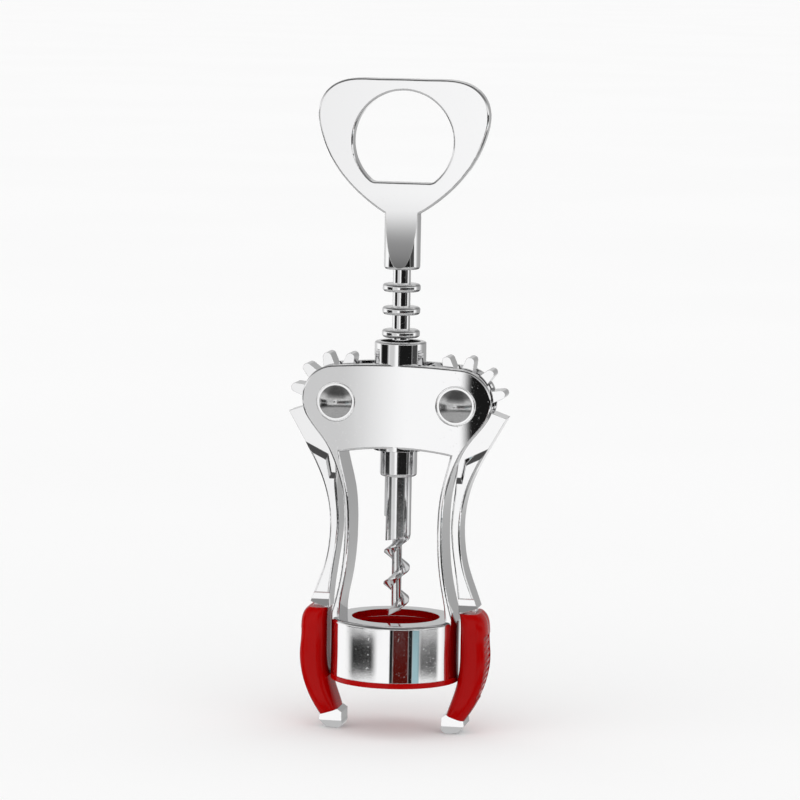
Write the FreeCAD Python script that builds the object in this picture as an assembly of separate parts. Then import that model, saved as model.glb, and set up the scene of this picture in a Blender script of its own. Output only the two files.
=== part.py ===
import FreeCAD
import Part
import math
import os
from FreeCAD import Vector

# A wing corkscrew whose handle is a crown-cap opener. All sizes are in millimetres.
# +Z is up and -Y is the front. The origin is the centre of the bell's mouth, where the
# bottle goes in. The wings hang down and the spindle is fully up, as the tool is stored.
# Every left-hand piece is the mirror image of its right-hand twin in the plane X = 0.

# Bell: the metal ring that stands on the bottle's lip.
BELL_RADIUS = 19.25
BELL_WALL = 1.8
BELL_TOP = 18.6
BELL_ROOF = 2.2
BELL_ROUNDING = 1.1

# Liner: the plastic sleeve in the bell that centres the bottle's neck.
LINER_RIM = 1.6
LINER_WALL = 1.95
LINER_STOP = 0.9
LINER_STOP_WIDTH = 1.9
ROOF_LIP = 0.45

# Gear train: a round rack between two toothed wing hubs.
GEAR_TEETH = 12
GEAR_PITCH_RADIUS = 13.0
GEAR_ADDENDUM = 1.7
GEAR_DEDENDUM = 3.3
TOOTH_TIP_SHARE = 0.198
TOOTH_ROOT_SHARE = 0.294
CUT_TEETH = 7
FIRST_TOOTH_ANGLE = 15.0
RACK_RADIUS = 5.65
RACK_ADDENDUM = 0.65
RACK_TOOTH_HEIGHT = 3.0
RACK_RING_SHARE = 0.3526
RACK_RINGS = 6
RACK_ROUNDING = 0.9
PIVOT_Z = 83.2

# Frame: two straps rise from the bell to a front and a rear cheek.
STRAP_THICKNESS = 1.6
STRAP_DEPTH = 12.0
STRAP_FOOT = 3.2
WAIST_INSET = 5.25
CHEEK_WALL = 3.0
CHEEK_CROWN_RADIUS = 240.0
CHEEK_ROUNDING = 0.6
CREST_RISE = 0.8
LOBE_MARGIN = 0.5
LOBE_SHIFT = 0.3
LOBE_RISE = 0.7
ARCH_DROP = 13.4
ARCH_SAG = 1.6
HUB_CLEARANCE = 1.0
GEAR_CLEARANCE = 0.4
COLLAR_WALL = 0.93
COLLAR_HEIGHT = 6.4
COLLAR_ROUNDING = 0.6
COLLAR_DROP = 0.9

# Guide bush: it turns in the collar, and the spindle slides through it.
BUSH_WALL = 1.0
BUSH_LIP = 0.7
SLIDE_CLEARANCE = 0.07
TURN_CLEARANCE = 0.05
BUSH_END_CLEARANCE = 0.1
FREE_CLEARANCE = 0.3

# Pivot rivets, each with a washer under its head and under its rear cap.
PIN_RADIUS = 2.5
PIN_CLEARANCE = 0.06
PIN_HEAD_OVERHANG = 2.4
PIN_HEAD_LAND = 0.35
PIN_HEAD_DOME = 1.8
PIN_TAIL_SHARE = 0.6
PIN_TAIL = 1.0
WASHER_MARGIN = 0.7
WASHER_THICKNESS = 0.6
SPOTFACE_MARGIN = 0.3
SPOTFACE_WALL = 1.7

# Wings: toothed hub, curved arm, tang inside the grip, bare metal tip.
HUB_THICKNESS = 7.4
ARM_THICKNESS = 9.2
ARM_LEDGE = 2.1
ARM_LEDGE_SIDE = 0.7
NECK_BAND = 4.6
NECK_BAND_DEPTH = 0.55
SHOULDER_MARGIN = 0.5
SHOULDER_ANGLE = 103.6
ARM_ROUNDING = 0.6
TANG_DEPTH = 6.0
TANG_HALF = 2.1
GRIP_DEPTH = 13.2
GRIP_TOP = 21.0
GRIP_LENGTH = 31.6
SECTION_POINTS = 24
SECTION_POWER = 0.52
GRIP_RIBS = 10
RIB_GROOVE = 0.55
PAD_DEPTH = 10.4
PAD_INSET = 0.4
PAD_TOP = 14.5
PAD_BOTTOM = -5.0
TIP_DROP = 5.0
TIP_BULGE = 1.3
TIP_BEVEL = 1.3
TIP_BEVEL_RISE = 2.4

# Handle: a flat opener head on a round stem.
STEM_LENGTH = 16.6
STEM_GAP = 0.15
STEM_STEP = 0.25
PLATE_THICKNESS = 4.4
PLATE_ROUNDING = 0.6
HEAD_HALF_WIDTH = 25.6
HEAD_HEIGHT = 39.65
OPENER_RADIUS = 15.0
OPENER_RISE = 21.15
OPENER_FLAT_DROP = 12.0
OPENER_CORNER = 2.6
SCOOP_RADIUS = 92.0
SCOOP_RISE = 7.6
TENON_LENGTH = 13.0
CROSS_PIN_RADIUS = 1.0
CROSS_PIN_RISE = 4.3
CROSS_PIN_INSET = 0.15

# Worm: a steel screw with a plain shank, pinned in the spindle's lower collar.
SPINDLE_FOOT_Z = 61.0
SHANK_RADIUS = 4.05
SHANK_LENGTH = 18.6
SHANK_SLOPE = 13.0
SHANK_FLAT = 6.6
SHANK_FLAT_DEPTH = 0.9
WORM_TENON = 15.0
WORM_TENON_WALL = 2.85
WORM_PIN_RADIUS = 0.9
WORM_PIN_RISE = 13.2
WORM_PIN_INSET = 0.4
WORM_STEP = 0.15
WORM_CORE_RADIUS = 1.5
WORM_PITCH = 9.6
WORM_TIP_Z = 18.7
WORM_TIP_OFFSET = 2.2
WORM_TAPER = 0.62
FLIGHT_ROOT_HALF = 2.2
FLIGHT_EDGE_HALF = 0.25

# Places and radii that follow from the sizes above.
BOTTLE_RADIUS = BELL_RADIUS - BELL_WALL - LINER_WALL
LINER_STOP_RADIUS = BOTTLE_RADIUS - LINER_STOP_WIDTH
BELL_HOLE_RADIUS = LINER_STOP_RADIUS - ROOF_LIP
WAIST_HALF = BELL_RADIUS - WAIST_INSET
GEAR_TIP_RADIUS = GEAR_PITCH_RADIUS + GEAR_ADDENDUM
GEAR_ROOT_RADIUS = GEAR_PITCH_RADIUS - GEAR_DEDENDUM
TOOTH_STEP = 360.0 / GEAR_TEETH
RACK_STEP = 2.0 * math.pi * GEAR_PITCH_RADIUS / GEAR_TEETH
TOOTH_TIP_HALF = TOOTH_TIP_SHARE * RACK_STEP
TOOTH_ROOT_HALF = TOOTH_ROOT_SHARE * RACK_STEP
RACK_RING = RACK_RING_SHARE * RACK_STEP
RACK_CORE_RADIUS = RACK_RADIUS - RACK_TOOTH_HEIGHT
PIVOT_X = GEAR_PITCH_RADIUS + RACK_RADIUS - RACK_ADDENDUM
SHOULDER_RADIUS = GEAR_TIP_RADIUS + SHOULDER_MARGIN
LOBE_RADIUS = GEAR_ROOT_RADIUS + LOBE_MARGIN
CHEEK_INNER = HUB_THICKNESS / 2.0 + HUB_CLEARANCE
CHEEK_DEPTH = 2.0 * (CHEEK_INNER + CHEEK_WALL)
CHEEK_TOP = PIVOT_Z + LOBE_RISE + LOBE_RADIUS
COLLAR_TOP = CHEEK_TOP + CREST_RISE + COLLAR_HEIGHT
GUIDE_RADIUS = RACK_RADIUS + FREE_CLEARANCE
BUSH_BORE = RACK_RADIUS + SLIDE_CLEARANCE
BUSH_RADIUS = BUSH_BORE + BUSH_WALL
COLLAR_RADIUS = BUSH_RADIUS + TURN_CLEARANCE + COLLAR_WALL
PIN_HEAD_RADIUS = PIN_RADIUS + PIN_HEAD_OVERHANG
PIN_TAIL_RADIUS = PIN_TAIL_SHARE * PIN_RADIUS
WASHER_RADIUS = PIN_HEAD_RADIUS + WASHER_MARGIN
SPOTFACE_Y = CHEEK_INNER + SPOTFACE_WALL
GRIP_BOTTOM = GRIP_TOP - GRIP_LENGTH
STEM_Z = PIVOT_Z + RACK_RINGS * RACK_STEP - RACK_RING / 2.0 - STEM_GAP
STEM_RADIUS = RACK_RADIUS - STEM_STEP
NECK_Z = STEM_Z + STEM_LENGTH
HEAD_TOP = NECK_Z + HEAD_HEIGHT
SHANK_Z = SPINDLE_FOOT_Z - SHANK_LENGTH
WORM_TENON_RADIUS = RACK_RADIUS - WORM_TENON_WALL
WORM_RADIUS = SHANK_RADIUS - WORM_STEP


def spot(x, z, y=0.0):
    """A point given by its place in the X-Z plane and its depth."""
    return Vector(x, y, z)


def line(start, end):
    """A straight edge in the X-Z plane."""
    return Part.LineSegment(spot(*start), spot(*end)).toShape()


def arc(start, middle, end):
    """A circular edge in the X-Z plane through three points."""
    return Part.Arc(spot(*start), spot(*middle), spot(*end)).toShape()


def curve(points, start_way=None, end_way=None):
    """A smooth edge through points, with its end directions if they are given."""
    spline = Part.BSplineCurve()
    ways = {}
    if start_way and end_way:
        ways["InitialTangent"] = spot(*start_way)
        ways["FinalTangent"] = spot(*end_way)
    spline.interpolate(Points=[spot(*point) for point in points], **ways)
    return spline.toShape()


def chain(points):
    """Straight edges from each point to the next."""
    return [line(start, end) for start, end in zip(points, points[1:])]


def slab(edges, thickness):
    """The solid inside a closed outline in the X-Z plane, centred on Y = 0."""
    face = Part.Face(Part.Wire(Part.__sortEdges__(edges)))
    face.translate(Vector(0, -thickness / 2.0, 0))
    return face.extrude(Vector(0, thickness, 0))


def turned(outline):
    """The solid of revolution about Z of a closed list of (radius, height) points."""
    edges = chain(list(outline) + [outline[0]])
    face = Part.Face(Part.Wire(edges))
    return face.revolve(Vector(0, 0, 0), Vector(0, 0, 1), 360)


def rod(radius, low, high):
    """An upright cylinder on the main axis."""
    return Part.makeCylinder(radius, high - low, Vector(0, 0, low))


def cross_rod(radius, x, z, length):
    """A cylinder along Y, centred on Y = 0."""
    return Part.makeCylinder(radius, length, Vector(x, -length / 2.0, z), Vector(0, 1, 0))


def block(x_low, x_high, y_low, y_high, z_low, z_high):
    """A box given by its limits."""
    size = (x_high - x_low, y_high - y_low, z_high - z_low)
    return Part.makeBox(*size, Vector(x_low, y_low, z_low))


def mirrored(shape):
    """The left-hand twin of a right-hand shape."""
    return shape.mirror(Vector(0, 0, 0), Vector(1, 0, 0))


def rounded(shape, radius, wanted):
    """The shape with the edges that the test picks rounded."""
    return shape.makeFillet(radius, [edge for edge in shape.Edges if wanted(edge)])


def polar(angle, radius):
    """A point about the right-hand pivot, by its angle from the top towards the rack."""
    turn = math.radians(angle)
    return (PIVOT_X - radius * math.sin(turn), PIVOT_Z + radius * math.cos(turn))


def strap_points():
    """The right-hand strap's centre line from its foot to its head, with thicknesses."""
    waist_z = (BELL_TOP + PIVOT_Z) / 2.0 - 4.4
    return [
        (BELL_RADIUS - 1.8, BELL_TOP - 1.2, STRAP_FOOT),
        (BELL_RADIUS - 2.5, BELL_TOP + 3.6, 1.2 * STRAP_THICKNESS),
        (BELL_RADIUS - 3.7, BELL_TOP + 9.4, STRAP_THICKNESS),
        (WAIST_HALF, waist_z, STRAP_THICKNESS),
        (PIVOT_X - 3.2, PIVOT_Z - 26.4, STRAP_THICKNESS),
        (PIVOT_X - 1.6, PIVOT_Z - 19.5, STRAP_THICKNESS),
        (PIVOT_X - 0.6, PIVOT_Z - 15.0, STRAP_THICKNESS),
    ]


def strap_faces():
    """The strap's inner and outer faces as two lists of points, foot to head."""
    centre = strap_points()
    line_through = Part.BSplineCurve()
    line_through.interpolate(Points=[spot(x, z) for x, z, _ in centre])
    inner = []
    outer = []
    for x, z, thickness in centre:
        way = line_through.tangent(line_through.parameter(spot(x, z)))[0]
        side = Vector(way.z, 0, -way.x)
        inner.append((x - side.x * thickness / 2.0, z - side.z * thickness / 2.0))
        outer.append((x + side.x * thickness / 2.0, z + side.z * thickness / 2.0))
    return inner, outer


def make_strap():
    """The right-hand strap over its full depth, from its foot to its head."""
    inner, outer = strap_faces()
    edges = [curve(inner), line(inner[-1], outer[-1]), curve(outer), line(outer[0], inner[0])]
    return slab(edges, STRAP_DEPTH)


def side_edges():
    """The right-hand half of the cheek's outline, lobe to foot and foot to arch."""
    inner, outer = strap_faces()
    lobe_x = PIVOT_X + LOBE_SHIFT
    lobe_z = PIVOT_Z + LOBE_RISE
    leave = math.radians(-30)
    lobe_end = (lobe_x + LOBE_RADIUS * math.cos(leave), lobe_z + LOBE_RADIUS * math.sin(leave))
    flank = [lobe_end, (PIVOT_X + 3.2, PIVOT_Z - 12.2), (PIVOT_X - 0.2, PIVOT_Z - 19.0)]
    flank += outer[-3::-1]
    foot_way = (outer[0][0] - outer[1][0], outer[0][1] - outer[1][1])
    arch_end = (inner[-1][0], PIVOT_Z - ARCH_DROP - ARCH_SAG)
    return [
        arc((lobe_x, lobe_z + LOBE_RADIUS), (lobe_x + LOBE_RADIUS, lobe_z), lobe_end),
        curve(flank, (-10.0, -17.3), foot_way),
        line(outer[0], inner[0]),
        curve(inner[:-1] + [arch_end]),
    ]


def make_sides():
    """Both cheeks and both straps, crowned outside and rounded at the rim."""
    side = side_edges()
    lobe_top = (PIVOT_X + LOBE_SHIFT, PIVOT_Z + LOBE_RISE + LOBE_RADIUS)
    arch_end = (strap_faces()[0][-1][0], PIVOT_Z - ARCH_DROP - ARCH_SAG)
    edges = side + [edge.mirror(Vector(0, 0, 0), Vector(1, 0, 0)) for edge in side]
    edges.append(arc((-lobe_top[0], lobe_top[1]), (0, lobe_top[1] + CREST_RISE), lobe_top))
    edges.append(arc((-arch_end[0], arch_end[1]), (0, PIVOT_Z - ARCH_DROP), arch_end))
    body = slab(edges, CHEEK_DEPTH + 2.0)
    for way in (-1, 1):
        centre = Vector(0, way * (CHEEK_DEPTH / 2.0 - CHEEK_CROWN_RADIUS), 0)
        body = body.common(Part.makeCylinder(CHEEK_CROWN_RADIUS, 2.0 * PIVOT_Z, centre))
    body = rounded(body, CHEEK_ROUNDING, edge_is_on_crown)
    edge_zone = rod(2.0 * BELL_RADIUS, 0, BELL_TOP + 6.0).cut(rod(BELL_RADIUS, 0, BELL_TOP + 6.0))
    strap = make_strap()
    gap = block(-50, 50, -CHEEK_INNER, CHEEK_INNER, 0, 2.0 * PIVOT_Z)
    return body.cut([edge_zone, gap.cut([strap, mirrored(strap)])])


def edge_is_on_crown(edge):
    """True for an edge that lies on a cheek's outer face all the way."""
    points = edge.discretize(5)
    for point in points:
        drop = point.x ** 2 / (2.0 * CHEEK_CROWN_RADIUS)
        if abs(abs(point.y) - (CHEEK_DEPTH / 2.0 - drop)) > 0.05:
            return False
    return True


def make_bell():
    """The bell: a ring wall and a flat roof with a round hole."""
    body = rod(BELL_RADIUS, LINER_RIM, BELL_TOP)
    body = rounded(body, BELL_ROUNDING, lambda edge: edge.BoundBox.ZMin > BELL_TOP - 0.01)
    body = body.cut(rod(BELL_RADIUS - BELL_WALL, LINER_RIM, BELL_TOP - BELL_ROOF))
    return body.cut(rod(BELL_HOLE_RADIUS, BELL_TOP - BELL_ROOF, BELL_TOP))


def make_casting():
    """The frame, cast in one: bell, straps, cheeks and the collar that guides the spindle."""
    collar = rod(COLLAR_RADIUS, PIVOT_Z - ARCH_DROP - COLLAR_DROP, COLLAR_TOP)
    collar = rounded(collar, COLLAR_ROUNDING, lambda edge: edge.BoundBox.ZMin > COLLAR_TOP - 0.01)
    body = make_bell().fuse([make_sides(), collar])
    sweep = cross_rod(GEAR_TIP_RADIUS + GEAR_CLEARANCE, PIVOT_X, PIVOT_Z, 2.0 * CHEEK_INNER)
    hole = cross_rod(PIN_RADIUS, PIVOT_X, PIVOT_Z, 2.0 * CHEEK_DEPTH)
    face = cross_rod(WASHER_RADIUS + SPOTFACE_MARGIN, PIVOT_X, PIVOT_Z, 2.0 * CHEEK_DEPTH)
    middle = block(0, 50, -SPOTFACE_Y, SPOTFACE_Y, 0, 2.0 * PIVOT_Z)
    spotfaces = face.cut(middle)
    cuts = [sweep, hole, spotfaces]
    cuts += [mirrored(cut) for cut in cuts]
    cuts.append(rod(GUIDE_RADIUS, PIVOT_Z - ARCH_DROP - 2.0, COLLAR_TOP + 1.0))
    cuts.append(rod(BUSH_RADIUS + TURN_CLEARANCE, CHEEK_TOP, COLLAR_TOP - BUSH_LIP))
    return body.cut(cuts).removeSplitter()


def make_liner():
    """The plastic liner: a rim under the bell, a bore for the bottle and a stop above it."""
    outside = BELL_RADIUS - BELL_WALL
    top = BELL_TOP - BELL_ROOF
    return turned([
        (BOTTLE_RADIUS, 0),
        (BELL_RADIUS, 0),
        (BELL_RADIUS, LINER_RIM),
        (outside, LINER_RIM),
        (outside, top),
        (LINER_STOP_RADIUS, top),
        (LINER_STOP_RADIUS, top - LINER_STOP),
        (BOTTLE_RADIUS, top - LINER_STOP),
    ])


def make_bush():
    """The guide bush, held between the collar's two lips."""
    low = CHEEK_TOP + BUSH_END_CLEARANCE
    high = COLLAR_TOP - BUSH_LIP - BUSH_END_CLEARANCE
    return rod(BUSH_RADIUS, low, high).cut(rod(BUSH_BORE, low, high))


def dome():
    """A low domed head that stands on Z = 0."""
    top = PIN_HEAD_LAND + PIN_HEAD_DOME
    ball = (PIN_HEAD_RADIUS ** 2 + PIN_HEAD_DOME ** 2) / (2.0 * PIN_HEAD_DOME)
    half = math.asin(PIN_HEAD_RADIUS / ball) / 2.0
    middle = (ball * math.sin(half), top - ball + ball * math.cos(half))
    edges = chain([(0, top), (0, 0), (PIN_HEAD_RADIUS, 0), (PIN_HEAD_RADIUS, PIN_HEAD_LAND)])
    edges.append(arc((PIN_HEAD_RADIUS, PIN_HEAD_LAND), middle, (0, top)))
    return Part.Face(Part.Wire(edges)).revolve(Vector(0, 0, 0), Vector(0, 0, 1), 360)


def on_pivot(shape, distance, way):
    """A shape modelled along +Z, set on the right-hand pivot's front (-1) or rear (1)."""
    shape.rotate(Vector(0, 0, 0), Vector(1, 0, 0), -90 * way)
    shape.translate(Vector(PIVOT_X, way * distance, PIVOT_Z))
    return shape


def make_pivot_pieces():
    """The right-hand rivet: its pin, its two washers and its rear cap."""
    seat = SPOTFACE_Y + WASHER_THICKNESS
    shank = cross_rod(PIN_RADIUS, PIVOT_X, PIVOT_Z, 2.0 * seat)
    tail = on_pivot(rod(PIN_TAIL_RADIUS, 0, PIN_TAIL), seat, 1)
    pin = on_pivot(dome(), seat, -1).fuse([shank, tail]).removeSplitter()
    cap = on_pivot(dome(), seat, 1).cut(tail)
    ring = rod(WASHER_RADIUS, 0, WASHER_THICKNESS).cut(rod(PIN_RADIUS, 0, WASHER_THICKNESS))
    return {
        "pivot_pin": pin,
        "rear_rivet_cap": cap,
        "front_washer": on_pivot(ring.copy(), SPOTFACE_Y, -1),
        "rear_washer": on_pivot(ring.copy(), SPOTFACE_Y, 1),
    }


def make_tooth(angle):
    """One slim tooth with a round tip, by its angle from the top towards the rack."""
    centre = GEAR_TIP_RADIUS - TOOTH_TIP_HALF
    root = GEAR_ROOT_RADIUS - 1.0
    corners = [(-TOOTH_ROOT_HALF, root), (-TOOTH_TIP_HALF, centre)]
    corners += [(TOOTH_TIP_HALF, centre), (TOOTH_ROOT_HALF, root)]
    corners = [(PIVOT_X + x, PIVOT_Z + z) for x, z in corners]
    body = slab(chain(corners + corners[:1]), HUB_THICKNESS)
    body = body.fuse(cross_rod(TOOTH_TIP_HALF, PIVOT_X, PIVOT_Z + centre, HUB_THICKNESS))
    body.rotate(spot(PIVOT_X, PIVOT_Z), Vector(0, 1, 0), -angle)
    return body


def arm_outer():
    """The arm's outer edge, from below the shoulder down to the grip."""
    waist_z = (BELL_TOP + PIVOT_Z) / 2.0 - 5.4
    return [
        (PIVOT_X + 8.7, PIVOT_Z - 14.2),
        (PIVOT_X + 3.3, PIVOT_Z - 26.2),
        (WAIST_HALF + 5.75, waist_z),
        (BELL_RADIUS + 1.75, GRIP_TOP + 14.0),
        (BELL_RADIUS + 6.0, GRIP_TOP + 1.6),
    ]


def arm_inner():
    """The arm's inner edge, from the grip up to the strap's head."""
    waist_z = (BELL_TOP + PIVOT_Z) / 2.0 - 3.9
    return [
        (BELL_RADIUS + 0.5, GRIP_TOP - 0.2),
        (BELL_RADIUS - 1.1, GRIP_TOP + 14.0),
        (WAIST_HALF + 2.95, waist_z),
        (PIVOT_X - 0.2, PIVOT_Z - 26.2),
        (PIVOT_X + 0.3, PIVOT_Z - 21.0),
        (PIVOT_X + 0.9, PIVOT_Z - 15.5),
    ]


def arm_edges():
    """The closed outline of the hub's web and the arm, without teeth, grip or tip."""
    corner = polar(-SHOULDER_ANGLE, SHOULDER_RADIUS)
    heel = polar(-SHOULDER_ANGLE + 4.0, GEAR_ROOT_RADIUS - 1.0)
    leave = polar(150.0, GEAR_ROOT_RADIUS)
    outer = arm_outer()
    inner = arm_inner()
    knee = (PIVOT_X + 0.9, PIVOT_Z - 11.6)
    edges = chain([inner[-1], knee, leave, (PIVOT_X, PIVOT_Z), heel, corner, outer[0]])
    start_way = (outer[0][0] - corner[0], outer[0][1] - corner[1])
    end_way = (10.0, -30.0)
    edges.append(curve(outer, [2.0 * part for part in start_way], end_way))
    edges.append(line(outer[-1], inner[0]))
    edges.append(curve(inner))
    return edges


def grip_stations():
    """The grip's inner point, outer point and depth at each station, top to bottom."""
    side = BELL_RADIUS
    top = GRIP_TOP
    low = GRIP_BOTTOM
    return [
        ((side + 0.5, top), (side + 6.6, top + 0.1), 0.92 * GRIP_DEPTH),
        ((side + 0.8, top - 1.3), (side + 7.9, top - 1.2), 0.99 * GRIP_DEPTH),
        ((side + 1.0, top - 6.0), (side + 8.9, top - 5.8), GRIP_DEPTH),
        ((side + 1.0, top - 13.0), (side + 9.3, top - 12.7), GRIP_DEPTH),
        ((side + 0.5, top - 19.5), (side + 8.6, top - 20.0), GRIP_DEPTH),
        ((side - 0.7, top - 24.4), (side + 6.7, top - 25.6), GRIP_DEPTH),
        ((side - 2.8, low + 1.0), (side + 2.7, low - 0.8), 0.94 * GRIP_DEPTH),
    ]


def grip_section(inner, outer, depth):
    """A rounded-square section through the grip at one station."""
    middle = (spot(*inner) + spot(*outer)) * 0.5
    reach = (spot(*outer) - spot(*inner)) * 0.5
    points = []
    for step in range(SECTION_POINTS):
        turn = 2.0 * math.pi * step / SECTION_POINTS
        across = math.copysign(abs(math.cos(turn)) ** SECTION_POWER, math.cos(turn))
        deep = math.copysign(abs(math.sin(turn)) ** SECTION_POWER, math.sin(turn))
        points.append(middle + reach * across + Vector(0, depth / 2.0 * deep, 0))
    outline = Part.BSplineCurve()
    outline.interpolate(Points=points, PeriodicFlag=True)
    return Part.Wire(outline.toShape())


def make_tang():
    """The metal core inside the right-hand grip."""
    inner_end, outer_end, _ = grip_stations()[-1]
    top = (BELL_RADIUS + 3.1, GRIP_TOP + 0.6)
    middle = (BELL_RADIUS + 5.3, GRIP_TOP - 12.0)
    low = ((outer_end[0] + inner_end[0]) / 2.0, GRIP_BOTTOM - 0.2)
    half = TANG_HALF
    left = [(top[0] - half, top[1]), (middle[0] - half, middle[1]), (low[0] - half, low[1])]
    right = [(top[0] + half, top[1]), (middle[0] + half, middle[1]), (low[0] + half, low[1])]
    edges = [arc(*left), line(left[-1], right[-1]), arc(*right), line(right[0], left[0])]
    return slab(edges, TANG_DEPTH)


def make_grip():
    """The right-hand grip, with a ribbed thumb pad let into its outer side."""
    stations = grip_stations()
    body = Part.makeLoft([grip_section(*station) for station in stations], True, False)
    inside = body.copy()
    inside.translate(Vector(-PAD_INSET, 0, 0))
    pad = block(PIVOT_X + 5.0, 60, -PAD_DEPTH / 2.0, PAD_DEPTH / 2.0, PAD_BOTTOM, PAD_TOP)
    body = body.cut(pad.cut(inside))
    spline = curve([outer for _, outer, _ in stations]).Curve
    for number in range(GRIP_RIBS):
        height = PAD_TOP - (number + 0.5) * (PAD_TOP - PAD_BOTTOM) / GRIP_RIBS
        level = Part.LineSegment(spot(0, height), spot(90, height))
        edge_x = spline.intersect(level)[0].X
        body = body.cut(cross_rod(RIB_GROOVE, edge_x - PAD_INSET, height, PAD_DEPTH))
    return body.cut(make_tang())


def make_ledge_cutter(way):
    """The space beside the hub, front (-1) or rear (1), down to the arm's sloping ledge."""
    outer = arm_outer()
    inner = arm_inner()
    points = [
        (outer[0][0] + 3.0, outer[0][1] + 2.6),
        (inner[-1][0] + 1.7, inner[-1][1] - 0.6),
        (inner[-2][0] + 1.2, inner[-2][1] - 0.6),
        (0, inner[-2][1] - 0.6),
        (0, PIVOT_Z + 20.0),
        (outer[0][0] + 30.0, PIVOT_Z + 20.0),
        (outer[0][0] + 30.0, outer[0][1] + 2.6),
    ]
    wires = []
    for depth, drop in ((HUB_THICKNESS / 2.0, 0.0), (ARM_THICKNESS / 2.0 + 0.2, ARM_LEDGE)):
        corners = [spot(x + drop * ARM_LEDGE_SIDE / ARM_LEDGE, z - drop, way * depth) for x, z in points]
        wires.append(Part.makePolygon(corners + corners[:1]))
    return Part.makeLoft(wires, True, True)


def edge_is_long_side(edge, depth):
    """True for one of the long curved edges of a slab's front or rear face."""
    on_side = abs(abs(edge.BoundBox.YMin) - depth / 2.0) < 0.001 and edge.BoundBox.YLength < 0.001
    return on_side and edge.BoundBox.ZLength > 25.0


def side_waste(corners):
    """A bar of waste along X over the right-hand half, from its (y, z) corners."""
    points = [Vector(0, y, z) for y, z in corners]
    face = Part.Face(Part.makePolygon(points + points[:1]))
    return face.extrude(Vector(2.0 * PIVOT_X, 0, 0))


def make_neck_band(way):
    """The waste of the arm's neck band, front (-1) or rear (1), flared out at its foot."""
    face = ARM_THICKNESS / 2.0
    deep = face - NECK_BAND_DEPTH
    low = GRIP_TOP + 0.3
    high = GRIP_TOP + NECK_BAND
    corners = [(face, low), (deep, (low + high) / 2.0), (deep, high - 0.3), (face, high)]
    corners += [(face + 1.0, high), (face + 1.0, low)]
    return side_waste([(way * y, z) for y, z in corners])


def make_tip_bevel(way, foot):
    """The waste below the tip's front (-1) or rear (1) bevel."""
    face = ARM_THICKNESS / 2.0
    corners = [(face, foot + TIP_BEVEL_RISE), (face - TIP_BEVEL, foot), (face - TIP_BEVEL, foot - 1.0)]
    corners += [(face + 1.0, foot - 1.0), (face + 1.0, foot + TIP_BEVEL_RISE)]
    return side_waste([(way * y, z) for y, z in corners])


def make_lever():
    """The right-hand wing in one casting: toothed hub, arm, tang and tip."""
    hub = cross_rod(GEAR_ROOT_RADIUS, PIVOT_X, PIVOT_Z, HUB_THICKNESS)
    half_sector = (CUT_TEETH - 1) / 2.0
    teeth = [make_tooth(FIRST_TOOTH_ANGLE + TOOTH_STEP * (n - half_sector)) for n in range(CUT_TEETH)]
    arm = slab(arm_edges(), ARM_THICKNESS)
    arm = rounded(arm, ARM_ROUNDING, lambda edge: edge_is_long_side(edge, ARM_THICKNESS))
    arm = arm.cut([make_ledge_cutter(-1), make_ledge_cutter(1)])
    arm = arm.cut([make_neck_band(-1), make_neck_band(1)])
    high, low, _ = grip_stations()[-1]
    foot = GRIP_BOTTOM - TIP_DROP
    inner = (high[0] - TIP_BULGE, foot + 2.4)
    edges = chain([low, high, (high[0] - TIP_BULGE, high[1] - 0.9), inner])
    edges.append(arc(inner, (high[0] - 0.8 * TIP_BULGE, foot + 0.6), (high[0] + 1.0, foot)))
    edges += chain([(high[0] + 1.0, foot), (low[0] - 1.8, foot + 0.4), (low[0] + 0.2, low[1] - 1.5), low])
    tip = slab(edges, ARM_THICKNESS)
    tip = tip.cut([make_tip_bevel(-1, foot), make_tip_bevel(1, foot)])
    body = arm.fuse([hub, make_tang(), tip] + teeth)
    return body.cut(cross_rod(PIN_RADIUS + PIN_CLEARANCE, PIVOT_X, PIVOT_Z, 20.0)).removeSplitter()


def make_rack():
    """The spindle: a round rack between a lower collar and a tenon for the handle."""
    collar_top = PIVOT_Z - RACK_STEP + RACK_RING / 2.0
    tenon_top = STEM_Z + TENON_LENGTH
    rings = []
    for number in range(RACK_RINGS):
        middle = PIVOT_Z + number * RACK_STEP
        ring = rod(RACK_RADIUS, middle - RACK_RING / 2.0, middle + RACK_RING / 2.0)
        rings.append(ring.makeFillet(RACK_ROUNDING, ring.Edges[:1] + ring.Edges[2:]))
    collar = rod(RACK_RADIUS - 0.1, SPINDLE_FOOT_Z, collar_top)
    collar = rounded(collar, RACK_ROUNDING, lambda edge: edge.BoundBox.ZLength < 0.01)
    core = rod(RACK_CORE_RADIUS, collar_top - 1.0, STEM_Z)
    tenon = rod(RACK_CORE_RADIUS, STEM_Z, tenon_top)
    body = core.fuse([collar, tenon] + rings)
    cuts = [
        rod(WORM_TENON_RADIUS, SPINDLE_FOOT_Z - 1.0, SPINDLE_FOOT_Z + WORM_TENON),
        handle_pin_shape(4.0 * RACK_RADIUS),
        worm_pin_shape(4.0 * RACK_RADIUS),
    ]
    return body.cut(cuts).removeSplitter()


def handle_pin_shape(length):
    """The cross pin that holds the handle on the spindle."""
    start = Vector(-length / 2.0, 0, STEM_Z + CROSS_PIN_RISE)
    return Part.makeCylinder(CROSS_PIN_RADIUS, length, start, Vector(1, 0, 0))


def worm_pin_shape(length):
    """The cross pin that holds the worm in the spindle's lower collar."""
    start = Vector(-length / 2.0, 0, SPINDLE_FOOT_Z + WORM_PIN_RISE)
    return Part.makeCylinder(WORM_PIN_RADIUS, length, start, Vector(1, 0, 0))


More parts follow.
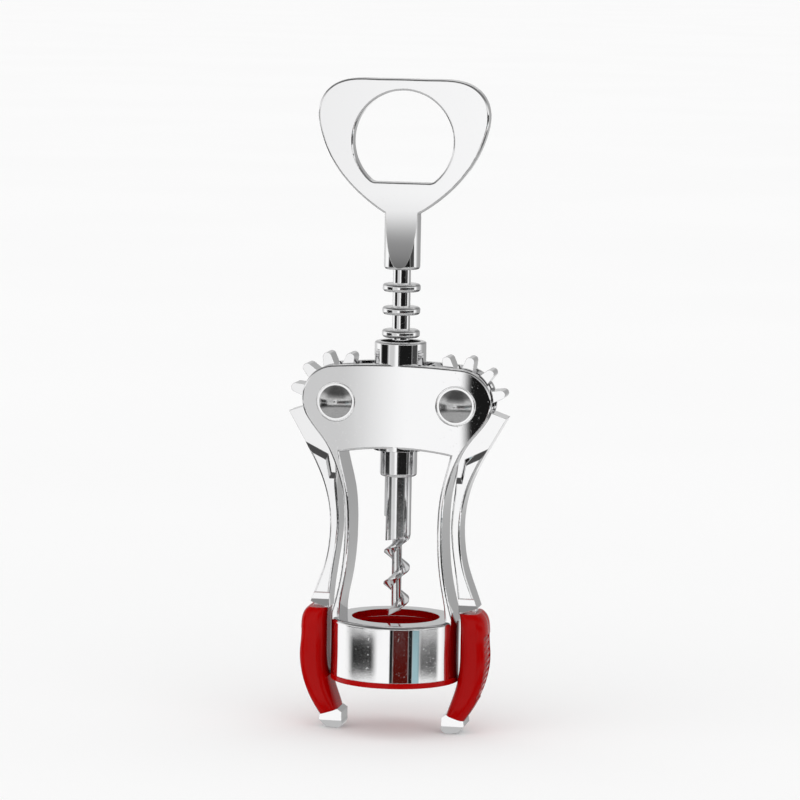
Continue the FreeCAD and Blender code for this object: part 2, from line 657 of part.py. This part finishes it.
def head_outline():
    """The flat head's outline, closed across the neck."""
    side = [(0.33, 0.999), (0.62, 0.993), (0.80, 0.955), (0.935, 0.875), (1.0, 0.74)]
    side += [(0.962, 0.585), (0.87, 0.435), (0.71, 0.275), (0.535, 0.155), (0.345, 0.056)]
    right = [(HEAD_HALF_WIDTH * x, NECK_Z + HEAD_HEIGHT * z) for x, z in side]
    right.append((STEM_RADIUS, NECK_Z))
    points = [(-x, z) for x, z in reversed(right)] + [(0, HEAD_TOP)] + right
    return [curve(points), line(points[-1], points[0])]


def make_scoop(way):
    """The space in front of (-1) or behind (1) the head, with its long sweep down the stem."""
    half = PLATE_THICKNESS / 2.0
    centre = Vector(-60, way * (SCOOP_RADIUS + half), NECK_Z + SCOOP_RISE)
    sweep = Part.makeCylinder(SCOOP_RADIUS, 120, centre, Vector(1, 0, 0))
    side = sorted((way * half, way * (half + 2.0 * STEM_RADIUS)))
    space = block(-60, 60, *side, NECK_Z + SCOOP_RISE, HEAD_TOP + 1.0)
    low = block(-60, 60, *side, STEM_Z - 1.0, NECK_Z + SCOOP_RISE)
    return space.fuse(sweep.common(low)).removeSplitter()


def make_opener_hole():
    """The D-shaped hole that grips a crown cap, with rounded lower corners."""
    centre_z = NECK_Z + OPENER_RISE
    floor = centre_z - OPENER_FLAT_DROP
    lift = floor + OPENER_CORNER
    across = math.sqrt((OPENER_RADIUS - OPENER_CORNER) ** 2 - (centre_z - lift) ** 2)
    turn = math.atan2(lift - centre_z, across)
    half_turn = (turn - math.pi / 2.0) / 2.0
    leave = (OPENER_RADIUS * math.cos(turn), centre_z + OPENER_RADIUS * math.sin(turn))
    bend = (across + OPENER_CORNER * math.cos(half_turn), lift + OPENER_CORNER * math.sin(half_turn))
    side = arc(leave, bend, (across, floor))
    edges = [side, side.mirror(Vector(0, 0, 0), Vector(1, 0, 0))]
    edges.append(line((-across, floor), (across, floor)))
    edges.append(arc((-leave[0], leave[1]), (0, centre_z + OPENER_RADIUS), leave))
    return slab(edges, 4.0 * PLATE_THICKNESS)


def edge_is_on_head(edge):
    """True for a rim or hole edge in the head's faces, but not across the neck."""
    if edge.BoundBox.ZMax < NECK_Z + 0.1:
        return False
    for point in edge.discretize(7):
        drop = max(0.0, NECK_Z + SCOOP_RISE - point.z)
        sweep = SCOOP_RADIUS - math.sqrt(SCOOP_RADIUS ** 2 - drop ** 2)
        if abs(abs(point.y) - PLATE_THICKNESS / 2.0 - sweep) > 0.02:
            return False
    return edge.BoundBox.ZLength > 0.001 or edge.BoundBox.ZMax > NECK_Z + SCOOP_RISE + 0.1


def make_handle():
    """The opener handle: a flat head on a round stem with a long scoop front and rear."""
    stem = rod(STEM_RADIUS, STEM_Z, NECK_Z + 1.0)
    stem = rounded(stem, RACK_ROUNDING, lambda edge: edge.BoundBox.ZMax < STEM_Z + 0.01)
    scoops = [make_scoop(-1), make_scoop(1)]
    head = slab(head_outline(), 2.0 * STEM_RADIUS).cut(scoops + [make_opener_hole()])
    head = rounded(head, PLATE_ROUNDING, edge_is_on_head)
    socket = rod(RACK_CORE_RADIUS, STEM_Z, STEM_Z + TENON_LENGTH)
    pin = handle_pin_shape(2.0 * (STEM_RADIUS - CROSS_PIN_INSET))
    return stem.cut(scoops).fuse(head).cut([socket, pin]).removeSplitter()


def make_worm():
    """The worm: tenon, shank with a flat and a sloping end, and a right-hand screw."""
    tenon = rod(WORM_TENON_RADIUS, SPINDLE_FOOT_Z, SPINDLE_FOOT_Z + WORM_TENON)
    shank = rod(SHANK_RADIUS, SHANK_Z - 3.0, SPINDLE_FOOT_Z)
    wedge = block(-20, 20, -20, 20, SHANK_Z - 23.0, SHANK_Z)
    wedge.rotate(Vector(0, 0, SHANK_Z), Vector(0, 1, 0), -SHANK_SLOPE)
    flat = block(-20, SHANK_FLAT_DEPTH - SHANK_RADIUS, -20, 20, SHANK_Z - 20, SHANK_Z + SHANK_FLAT)
    shank = shank.cut([wedge, flat])
    height = SHANK_Z + 2.0 - WORM_TIP_Z
    helix = Part.makeHelix(WORM_PITCH, height, WORM_RADIUS - 1.0)
    section = Part.makePolygon([
        spot(0.8, FLIGHT_ROOT_HALF),
        spot(WORM_RADIUS, FLIGHT_EDGE_HALF),
        spot(WORM_RADIUS, -FLIGHT_EDGE_HALF),
        spot(0.8, -FLIGHT_ROOT_HALF),
        spot(0.8, FLIGHT_ROOT_HALF),
    ])
    flight = Part.Wire(helix).makePipeShell([section], True, True)
    flight.rotate(Vector(0, 0, 0), Vector(0, 0, 1), 180)
    flight.translate(Vector(0, 0, WORM_TIP_Z))
    core = rod(WORM_CORE_RADIUS, WORM_TIP_Z, SHANK_Z + 3.0)
    tip = Vector(-WORM_TIP_OFFSET, 0, WORM_TIP_Z)
    taper = WORM_TAPER * WORM_PITCH
    point = Part.makeCone(0, 1.6 * WORM_RADIUS, taper, tip, Vector(WORM_TIP_OFFSET, 0, taper))
    waste = block(-20, 20, -20, 20, WORM_TIP_Z - WORM_PITCH, WORM_TIP_Z + 0.6 * taper)
    screw = flight.fuse(core).cut(waste.cut(point))
    body = tenon.fuse([shank, screw])
    return body.cut(worm_pin_shape(4.0 * RACK_RADIUS)).removeSplitter()


def build():
    """Every piece by its node name."""
    pieces = {
        "frame_casting": make_casting(),
        "bottle_liner": make_liner(),
        "guide_bush": make_bush(),
        "rack_spindle": make_rack(),
        "opener_handle": make_handle(),
        "handle_pin": handle_pin_shape(2.0 * (STEM_RADIUS - CROSS_PIN_INSET)),
        "worm": make_worm(),
        "worm_pin": worm_pin_shape(2.0 * (RACK_RADIUS - WORM_PIN_INSET)),
    }
    pairs = make_pivot_pieces()
    pairs["lever"] = make_lever()
    pairs["grip"] = make_grip()
    for name, shape in pairs.items():
        pieces[name + "_right"] = shape
        pieces[name + "_left"] = mirrored(shape)
    return pieces


os.makedirs("parts", exist_ok=True)
for node, shape in build().items():
    shape.exportStep("parts/" + node + ".step")
    print(node, len(shape.Solids), shape.isValid(), round(shape.Volume, 1))
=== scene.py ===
"""Looks of a wing corkscrew whose handle is a crown-cap opener.

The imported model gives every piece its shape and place. This script dresses the pieces
in their finishes and sets up the studio and the camera.
"""

import logging
import math
from dataclasses import dataclass, field
from enum import Enum

import bpy
from mathutils import Matrix, Vector


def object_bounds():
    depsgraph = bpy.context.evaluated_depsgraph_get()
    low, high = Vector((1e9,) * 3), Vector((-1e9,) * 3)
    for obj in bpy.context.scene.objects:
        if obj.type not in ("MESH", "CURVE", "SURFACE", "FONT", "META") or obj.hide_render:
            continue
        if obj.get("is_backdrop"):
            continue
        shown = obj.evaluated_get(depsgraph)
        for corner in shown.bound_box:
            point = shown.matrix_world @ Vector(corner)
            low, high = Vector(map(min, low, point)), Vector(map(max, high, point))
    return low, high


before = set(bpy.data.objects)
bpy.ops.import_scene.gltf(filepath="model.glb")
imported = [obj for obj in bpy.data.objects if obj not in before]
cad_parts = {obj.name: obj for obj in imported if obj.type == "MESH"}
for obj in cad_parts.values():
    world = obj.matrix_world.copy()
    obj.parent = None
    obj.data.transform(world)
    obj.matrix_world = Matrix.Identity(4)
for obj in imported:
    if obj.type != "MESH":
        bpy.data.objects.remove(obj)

LOG = logging.getLogger("corkscrew")
SENSOR_WIDTH = 36.0


class Side(Enum):
    """The two sides of the tool, left and right seen from the front."""

    LEFT = "left"
    RIGHT = "right"

    def name_of(self, piece: str) -> str:
        """Return the node name of this side's piece."""
        return f"{piece}_{self.value}"


class Graph:
    """A small helper that adds nodes and links to a node tree."""

    def __init__(self, tree: bpy.types.NodeTree) -> None:
        """Keep the tree and empty it.

        Args:
            tree: The node tree to fill.
        """
        self.tree = tree
        self.tree.nodes.clear()

    def add(self, kind: str, **values: object) -> bpy.types.Node:
        """Add a node and set its properties and inputs.

        Args:
            kind: The node's type name.
            **values: Properties by name, or inputs by name with spaces as underscores.

        Returns:
            The new node.
        """
        node = self.tree.nodes.new(kind)
        for name, value in values.items():
            if hasattr(node, name):
                setattr(node, name, value)
            else:
                self.feed(node, name.replace("_", " "), value)
        return node

    def feed(self, node: bpy.types.Node, name: str, value: object) -> None:
        """Set or link one input of a node.

        Args:
            node: The node that takes the value.
            name: The input's name, in any case, or its number.
            value: A plain value, or an output socket to link.
        """
        wanted = [s for s in node.inputs if s.name.lower() == name.lower() and s.enabled]
        socket = wanted[0] if wanted else node.inputs[int(name)]
        if isinstance(value, bpy.types.NodeSocket):
            self.tree.links.new(value, socket)
        else:
            socket.default_value = value

    def math(self, operation: str, *terms: object) -> bpy.types.NodeSocket:
        """Add a math node.

        Args:
            operation: The math node's operation.
            *terms: Its inputs, as numbers or sockets.

        Returns:
            The node's output socket.
        """
        node = self.tree.nodes.new("ShaderNodeMath")
        node.operation = operation
        for socket, term in zip(node.inputs, terms):
            if isinstance(term, bpy.types.NodeSocket):
                self.tree.links.new(term, socket)
            else:
                socket.default_value = term
        return node.outputs[0]

    def ramp(self, value: object, low: float, high: float, start: float, end: float) -> bpy.types.NodeSocket:
        """Map a value smoothly from one range to another.

        Args:
            value: The socket to map.
            low: The value that gives start.
            high: The value that gives end.
            start: The result at low.
            end: The result at high.

        Returns:
            The mapped value's socket.
        """
        node = self.tree.nodes.new("ShaderNodeMapRange")
        node.interpolation_type = "SMOOTHSTEP"
        self.tree.links.new(value, node.inputs[0])
        for socket, number in zip(node.inputs[1:5], (low, high, start, end)):
            socket.default_value = number
        return node.outputs[0]

    def noise(
        self, scale: float, detail: float, stretch: tuple[float, float, float] = (1, 1, 1)
    ) -> bpy.types.NodeSocket:
        """Add a noise in the object's own metres.

        Args:
            scale: Grains per metre.
            detail: Octaves of finer grain.
            stretch: How much the pattern is squeezed along each axis.

        Returns:
            The noise value's socket.
        """
        place = self.add("ShaderNodeTexCoord")
        mapping = self.add("ShaderNodeMapping", Scale=stretch)
        self.tree.links.new(place.outputs["Object"], mapping.inputs["Vector"])
        node = self.add("ShaderNodeTexNoise", Scale=scale, Detail=detail)
        self.tree.links.new(mapping.outputs[0], node.inputs["Vector"])
        return node.outputs[0]

    def total(self, first: object, *terms: object) -> bpy.types.NodeSocket:
        """Add several terms together.

        Args:
            first: The first term.
            *terms: The other terms.

        Returns:
            The sum's socket.
        """
        for term in terms:
            first = self.math("ADD", first, term)
        return first

    def blend(self, factor: bpy.types.NodeSocket, low: object, high: object) -> bpy.types.NodeSocket:
        """Blend two colours.

        Args:
            factor: Zero for the first colour, one for the second.
            low: The first colour, as three numbers or a socket.
            high: The second colour, as three numbers or a socket.

        Returns:
            The blended colour's socket.
        """
        node = self.tree.nodes.new("ShaderNodeMix")
        node.data_type = "RGBA"
        self.tree.links.new(factor, node.inputs[0])
        for socket, colour in zip(node.inputs[6:8], (low, high)):
            if isinstance(colour, bpy.types.NodeSocket):
                self.tree.links.new(colour, socket)
            else:
                socket.default_value = (*colour, 1.0)
        return node.outputs[2]

    def edges(self, radius: float) -> bpy.types.NodeSocket:
        """Return a mask that is one on edges and zero on open faces.

        Args:
            radius: How far from an edge the mask reaches, in metres.

        Returns:
            The mask's socket.
        """
        bevel = self.tree.nodes.new("ShaderNodeBevel")
        bevel.samples = 4
        bevel.inputs["Radius"].default_value = radius
        plain = self.tree.nodes.new("ShaderNodeNewGeometry")
        dot = self.tree.nodes.new("ShaderNodeVectorMath")
        dot.operation = "DOT_PRODUCT"
        self.tree.links.new(bevel.outputs[0], dot.inputs[0])
        self.tree.links.new(plain.outputs["Normal"], dot.inputs[1])
        return self.ramp(dot.outputs["Value"], 0.86, 0.99, 1.0, 0.0)

    def bumps(self, radius: float, *layers: tuple[bpy.types.NodeSocket, float]) -> bpy.types.NodeSocket:
        """Soften the sharp edges and stack bump maps on them.

        Args:
            radius: How much a sharp edge is softened, in metres.
            *layers: Pairs of a height socket and its depth in metres.

        Returns:
            The resulting normal's socket.
        """
        soft = self.tree.nodes.new("ShaderNodeBevel")
        soft.samples = 4
        soft.inputs["Radius"].default_value = radius
        normal = soft.outputs[0]
        for height, depth in layers:
            node = self.add("ShaderNodeBump", Strength=1.0, Distance=depth, Height=height)
            self.tree.links.new(normal, node.inputs["Normal"])
            normal = node.outputs[0]
        return normal


@dataclass(frozen=True)
class Finish:
    """What every finish shares: a name and a way to be built."""

    title: str

    def shade(self, graph: Graph) -> bpy.types.NodeSocket:
        """Build the shader and return its socket."""
        raise NotImplementedError

    def material(self) -> bpy.types.Material:
        """Build the material once and return it."""
        name = f"{self.title}_finish"
        known = bpy.data.materials.get(name)
        if known is not None:
            return known
        made = bpy.data.materials.new(name)
        made.use_nodes = True
        graph = Graph(made.node_tree)
        out = graph.add("ShaderNodeOutputMaterial")
        made.node_tree.links.new(self.shade(graph), out.inputs["Surface"])
        return made


@dataclass(frozen=True)
class PlatedMetal(Finish):
    """Bright plated metal with a faint ripple, hairlines, smudges and rubbed edges."""

    tone: tuple[float, float, float] = (0.93, 0.93, 0.935)
    rubbed_tone: tuple[float, float, float] = (0.80, 0.79, 0.78)
    polish: float = 0.03
    smudge: float = 0.05
    ripple: float = 0.000002
    grain: float = 0.0000003
    softness: float = 0.00022

    def shade(self, graph: Graph) -> bpy.types.NodeSocket:
        """Mix tone, smudges and rubbed edges on a metallic shader.

        Args:
            graph: The material's node helper.

        Returns:
            The shader's output socket.
        """
        patches = graph.ramp(graph.noise(420, 4), 0.42, 0.62, 0.1, 1.0)
        rubbed = graph.math("MULTIPLY", graph.edges(0.0004), patches)
        smears = graph.ramp(graph.noise(70, 7, (1, 1, 0.5)), 0.50, 0.80, 0.0, 1.0)
        hairlines = graph.ramp(graph.noise(260, 2, (1.0, 1.0, 16.0)), 0.62, 0.80, 0.0, 1.0)
        pits = graph.ramp(graph.noise(1900, 1), 0.70, 0.76, 0.0, 1.0)
        rough = graph.total(
            self.polish,
            graph.math("MULTIPLY", smears, self.smudge),
            graph.math("MULTIPLY", hairlines, 0.02),
            graph.math("MULTIPLY", rubbed, 0.12),
            graph.math("MULTIPLY", pits, 0.10),
        )
        colour = graph.blend(rubbed, self.tone, self.rubbed_tone)
        normal = graph.bumps(
            self.softness,
            (graph.noise(150, 2), self.ripple),
            (graph.noise(1500, 3), self.grain),
            (pits, -0.000002),
        )
        shader = graph.add("ShaderNodeBsdfPrincipled", Metallic=1.0, Roughness=rough, Normal=normal)
        graph.feed(shader, "Base Color", colour)
        return shader.outputs[0]


@dataclass(frozen=True)
class CutSteel(PlatedMetal):
    """Plated steel that still shows the marks of the die that cut its screw."""

    tone: tuple[float, float, float] = (0.88, 0.88, 0.885)
    polish: float = 0.06
    smudge: float = 0.10
    ripple: float = 0.000008
    grain: float = 0.000002


@dataclass(frozen=True)
class SatinSteel(Finish):
    """Tumbled satin steel: even grey with fine grain and a soft bloom."""

    tone: tuple[float, float, float] = (0.66, 0.66, 0.66)
    roughness: float = 0.19
    grain: float = 0.0000012

    def shade(self, graph: Graph) -> bpy.types.NodeSocket:
        """Build a satin metal with a fine grain and tumbling nicks.

        Args:
            graph: The material's node helper.

        Returns:
            The shader's output socket.
        """
        fine = graph.noise(2600, 4)
        nicks = graph.ramp(graph.noise(900, 2), 0.66, 0.74, 0.0, 1.0)
        low = self.roughness - 0.03
        rough = graph.ramp(graph.noise(180, 3), 0.3, 0.7, low, low + 0.09)
        dull = tuple(part * 0.90 for part in self.tone)
        bright = tuple(part * 1.06 for part in self.tone)
        colour = graph.blend(graph.ramp(fine, 0.35, 0.65, 0.0, 1.0), dull, bright)
        normal = graph.bumps(0.00015, (fine, self.grain), (nicks, -0.000004))
        shader = graph.add("ShaderNodeBsdfPrincipled", Metallic=1.0, Roughness=rough, Normal=normal)
        graph.feed(shader, "Base Color", colour)
        return shader.outputs[0]


@dataclass(frozen=True)
class MouldedPlastic(Finish):
    """Moulded plastic with faint flow marks, a fine skin and rubbed edges."""

    tone: tuple[float, float, float] = (0.42, 0.0004, 0.0004)
    flow_tone: tuple[float, float, float] = (0.37, 0.0004, 0.0004)
    rubbed_tone: tuple[float, float, float] = (0.47, 0.006, 0.005)
    roughness: float = 0.13
    gloss: float = 0.12
    skin: float = 0.000004

    def shade(self, graph: Graph) -> bpy.types.NodeSocket:
        """Build a glossy or matt plastic.

        Args:
            graph: The material's node helper.

        Returns:
            The shader's output socket.
        """
        patches = graph.ramp(graph.noise(350, 4), 0.40, 0.70, 0.15, 1.0)
        rubbed = graph.math("MULTIPLY", graph.edges(0.0005), patches)
        flow = graph.ramp(graph.noise(45, 5, (1, 1, 0.4)), 0.35, 0.70, 0.0, 1.0)
        colour = graph.blend(rubbed, graph.blend(flow, self.tone, self.flow_tone), self.rubbed_tone)
        handled = graph.ramp(graph.noise(90, 6), 0.50, 0.72, 0.0, 0.07)
        rough = graph.total(self.roughness, handled, graph.math("MULTIPLY", rubbed, 0.10))
        normal = graph.bumps(
            0.0003,
            (graph.noise(160, 2), self.skin * 2),
            (graph.noise(2400, 3), self.skin * 0.2),
        )
        shader = graph.add("ShaderNodeBsdfPrincipled", Roughness=rough, Normal=normal)
        shader.inputs["Specular IOR Level"].default_value = self.gloss
        graph.feed(shader, "Base Color", colour)
        return shader.outputs[0]


CHROME = PlatedMetal("chrome_plate")
WORM_STEEL = CutSteel("worm_steel")
WASHER_PLATE = PlatedMetal("washer_plate", polish=0.05)
RIVET_STEEL = SatinSteel("rivet_steel")
PIN_STEEL = SatinSteel("pin_steel", tone=(0.55, 0.55, 0.56), roughness=0.18)
RED_PLASTIC = MouldedPlastic("red_plastic")
BUSH_PLASTIC = MouldedPlastic(
    "bush_plastic",
    tone=(0.03, 0.03, 0.032),
    flow_tone=(0.025, 0.025, 0.027),
    rubbed_tone=(0.06, 0.06, 0.06),
    roughness=0.45,
    gloss=0.4,
)


def dress(node: str, finish: Finish) -> None:
    """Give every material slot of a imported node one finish.

    Args:
        node: The node's name.
        finish: The finish it takes.
    """
    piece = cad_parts[node]
    if not piece.material_slots:
        piece.data.materials.append(finish.material())
    for slot in piece.material_slots:
        slot.material = finish.material()
    LOG.info("%s takes the finish %s", node, finish.title)


@dataclass
class FrameAssembly:
    """The cast frame, its liner and the rivets that carry the wings."""

    casting: str = "frame_casting"
    liner: str = "bottle_liner"
    rivet_parts: tuple[str, ...] = ("pivot_pin", "rear_rivet_cap")
    washer_parts: tuple[str, ...] = ("front_washer", "rear_washer")

    def dress(self) -> None:
        """Dress the casting, the liner and both rivets."""
        dress(self.casting, CHROME)
        dress(self.liner, RED_PLASTIC)
        for side in Side:
            for part in self.rivet_parts:
                dress(side.name_of(part), RIVET_STEEL)
            for part in self.washer_parts:
                dress(side.name_of(part), WASHER_PLATE)


@dataclass
class WingAssembly:
    """One wing: its geared lever and its grip."""

    side: Side

    def dress(self) -> None:
        """Dress the lever and the grip."""
        dress(self.side.name_of("lever"), CHROME)
        dress(self.side.name_of("grip"), RED_PLASTIC)


@dataclass
class SpindleAssembly:
    """The handle, the round rack and the worm, with the bush that guides them."""

    finishes: dict[str, Finish] = field(default_factory=lambda: {
        "opener_handle": CHROME,
        "rack_spindle": CHROME,
        "worm": WORM_STEEL,
        "handle_pin": PIN_STEEL,
        "worm_pin": PIN_STEEL,
        "guide_bush": BUSH_PLASTIC,
    })

    def dress(self) -> None:
        """Dress every piece of the spindle."""
        for node, finish in self.finishes.items():
            dress(node, finish)


@dataclass(frozen=True)
class Flag:
    """A dark or tinted card of the studio, by its compass and height limits in degrees.

    Its compass runs from 0 at the tool's front to 90 at its right.
    """

    left: float
    right: float
    low: float
    high: float
    keeps: tuple[float, float, float]
    side_blur: float = 6.0
    end_blur: float = 6.0


def grey(level: float) -> tuple[float, float, float]:
    """Return a neutral colour."""
    return (level, level, level)


@dataclass
class Studio:
    """White floor, wrap-round soft light with dark cards, and the camera."""

    camera_distance: float = 1.2
    camera_turn: float = 10.5
    camera_rise: float = 6.65
    camera_roll: float = 1.04
    aim: tuple[float, float, float] = (0.0, 0.0, 0.084)
    view_width: float = 0.23764
    shift: tuple[float, float] = (0.0003, -0.0016)
    floor_size: float = 60.0
    light: float = 1.0
    flags: tuple[Flag, ...] = (
        Flag(-200, 200, 8, 100, grey(0.66), 1, 22),
        Flag(-50, 40, 10, 70, grey(0.42), 20, 14),
        Flag(-120, 120, 23, 74, grey(0.25), 20, 16),
        Flag(-200, 200, -27, -17, grey(0.12), 1, 4),
        Flag(-200, 200, -100, -24, grey(0.52), 1, 6),
        Flag(-86, -45, -9.3, 2, grey(0.01), 14, 4),
        Flag(-77, -27, -10.62, -9.95, grey(0.015), 16, 0.22),
        Flag(-86, -45, -22, -11.3, grey(0.03), 14, 1),
        Flag(-40, -14, -9, 4, grey(0.62), 12, 3),
        Flag(0.5, 6, -12, 1, grey(0.01), 2, 3),
        Flag(6, 34, -12, -9.3, (0.085, 0.006, 0.004), 3, 1),
        Flag(34, 41, -12, -9.3, grey(0.01), 2, 1),
        Flag(41, 54, -12, -9.3, (0.34, 0.52, 0.56), 3, 1),
        Flag(6, 62, -9.3, 1, grey(0.01), 2, 3),
        Flag(54, 92, -10.60, -9.98, grey(0.05), 10, 0.22),
        Flag(62, 92, -9.3, 2, grey(0.06), 8, 3),
        Flag(112, 180, -60, 40, grey(0.36), 30, 12),
        Flag(-180, -120, -60, 40, grey(0.66), 20, 12),
    )

    def light_world(self) -> None:
        """Light the studio evenly, with the cards seen only in reflections."""
        world = bpy.data.worlds.new("studio")
        bpy.context.scene.world = world
        world.use_nodes = True
        graph = Graph(world.node_tree)
        place = graph.add("ShaderNodeTexCoord").outputs["Generated"]
        parts = graph.tree.nodes.new("ShaderNodeSeparateXYZ")
        graph.tree.links.new(place, parts.inputs[0])
        x, y, z = parts.outputs
        turn = graph.math("DEGREES", graph.math("ARCTAN2", x, graph.math("MULTIPLY", y, -1.0)))
        rise = graph.math("DEGREES", graph.math("ARCSINE", z))
        white = graph.tree.nodes.new("ShaderNodeRGB")
        white.outputs[0].default_value = (1.0, 1.0, 1.0, 1.0)
        colour = white.outputs[0]
        for flag in self.flags:
            window = graph.math(
                "MULTIPLY",
                self.window(graph, turn, flag.left, flag.right, flag.side_blur),
                self.window(graph, rise, flag.low, flag.high, flag.end_blur),
            )
            card = graph.tree.nodes.new("ShaderNodeMix")
            card.data_type = "RGBA"
            card.blend_type = "MULTIPLY"
            graph.tree.links.new(window, card.inputs[0])
            graph.tree.links.new(colour, card.inputs[6])
            card.inputs[7].default_value = (*flag.keeps, 1.0)
            colour = card.outputs[2]
        mirrored = graph.tree.nodes.new("ShaderNodeLightPath").outputs["Is Glossy Ray"]
        seen = graph.blend(mirrored, (1.0, 1.0, 1.0), colour)
        back = graph.tree.nodes.new("ShaderNodeBackground")
        graph.tree.links.new(seen, back.inputs["Color"])
        back.inputs["Strength"].default_value = self.light
        out = graph.tree.nodes.new("ShaderNodeOutputWorld")
        graph.tree.links.new(back.outputs[0], out.inputs["Surface"])

    def window(
        self, graph: Graph, value: bpy.types.NodeSocket, low: float, high: float, blur: float
    ) -> bpy.types.NodeSocket:
        """Return a soft-edged mask that is one between two limits.

        Args:
            graph: The world's node helper.
            value: The angle to test, in degrees.
            low: The lower limit.
            high: The upper limit.
            blur: The width of each soft edge.

        Returns:
            The mask's socket.
        """
        enters = graph.ramp(value, low - blur / 2, low + blur / 2, 0.0, 1.0)
        leaves = graph.ramp(value, high - blur / 2, high + blur / 2, 1.0, 0.0)
        return graph.math("MULTIPLY", enters, leaves)

    def lay_floor(self) -> None:
        """Lay a plain pale floor under the tool's lowest point."""
        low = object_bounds()[0]
        mesh = bpy.data.meshes.new("floor")
        half = self.floor_size / 2
        signs = [(-1, -1), (1, -1), (1, 1), (-1, 1)]
        corners = [(half * x, half * y, low[2]) for x, y in signs]
        mesh.from_pydata(corners, [], [(0, 1, 2, 3)])
        floor = bpy.data.objects.new("floor", mesh)
        bpy.context.scene.collection.objects.link(floor)
        paint = bpy.data.materials.new("floor_paint")
        paint.use_nodes = True
        graph = Graph(paint.node_tree)
        tint = graph.ramp(graph.noise(3, 2), 0.3, 0.7, 0.955, 0.965)
        shader = graph.add("ShaderNodeBsdfDiffuse", Roughness=0.5)
        graph.tree.links.new(tint, shader.inputs["Color"])
        out = graph.add("ShaderNodeOutputMaterial")
        graph.tree.links.new(shader.outputs[0], out.inputs[0])
        mesh.materials.append(paint)
        floor.visible_glossy = False
        floor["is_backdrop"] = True

    def place_camera(self) -> None:
        """Set the camera at its turn and rise about the tool, with its slight roll."""
        data = bpy.data.cameras.new("camera")
        camera = bpy.data.objects.new("camera", data)
        bpy.context.scene.collection.objects.link(camera)
        turn = math.radians(self.camera_turn)
        rise = math.radians(self.camera_rise)
        away = Vector((math.sin(turn) * math.cos(rise), -math.cos(turn) * math.cos(rise), math.sin(rise)))
        spot = Vector(self.aim) + away * self.camera_distance
        data.shift_x, data.shift_y = self.shift
        facing = away.to_track_quat("Z", "Y").to_matrix().to_4x4()
        roll = Matrix.Rotation(math.radians(self.camera_roll), 4, "Z")
        camera.matrix_world = Matrix.Translation(spot) @ facing @ roll
        data.sensor_width = SENSOR_WIDTH
        data.lens = SENSOR_WIDTH * self.camera_distance / self.view_width
        data.clip_start = 0.01
        bpy.context.scene.camera = camera

    def build(self) -> None:
        """Set the light, the floor and the camera."""
        self.light_world()
        self.lay_floor()
        self.place_camera()
        bpy.context.scene.view_settings.view_transform = "Standard"


def plain(box: tuple[Vector, Vector]) -> list[list[float]]:
    """Return a box as plain lists of numbers."""
    return [[float(value) for value in corner] for corner in box]


def main() -> None:
    """Build every assembly in order."""
    logging.basicConfig(level=logging.INFO, format="%(message)s")
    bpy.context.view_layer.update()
    assemblies = [
        FrameAssembly(),
        WingAssembly(Side.LEFT),
        WingAssembly(Side.RIGHT),
        SpindleAssembly(),
    ]
    for assembly in assemblies:
        assembly.dress()
        LOG.info("%s done", type(assembly).__name__)
    Studio().build()


if __name__ == "__main__":
    main()
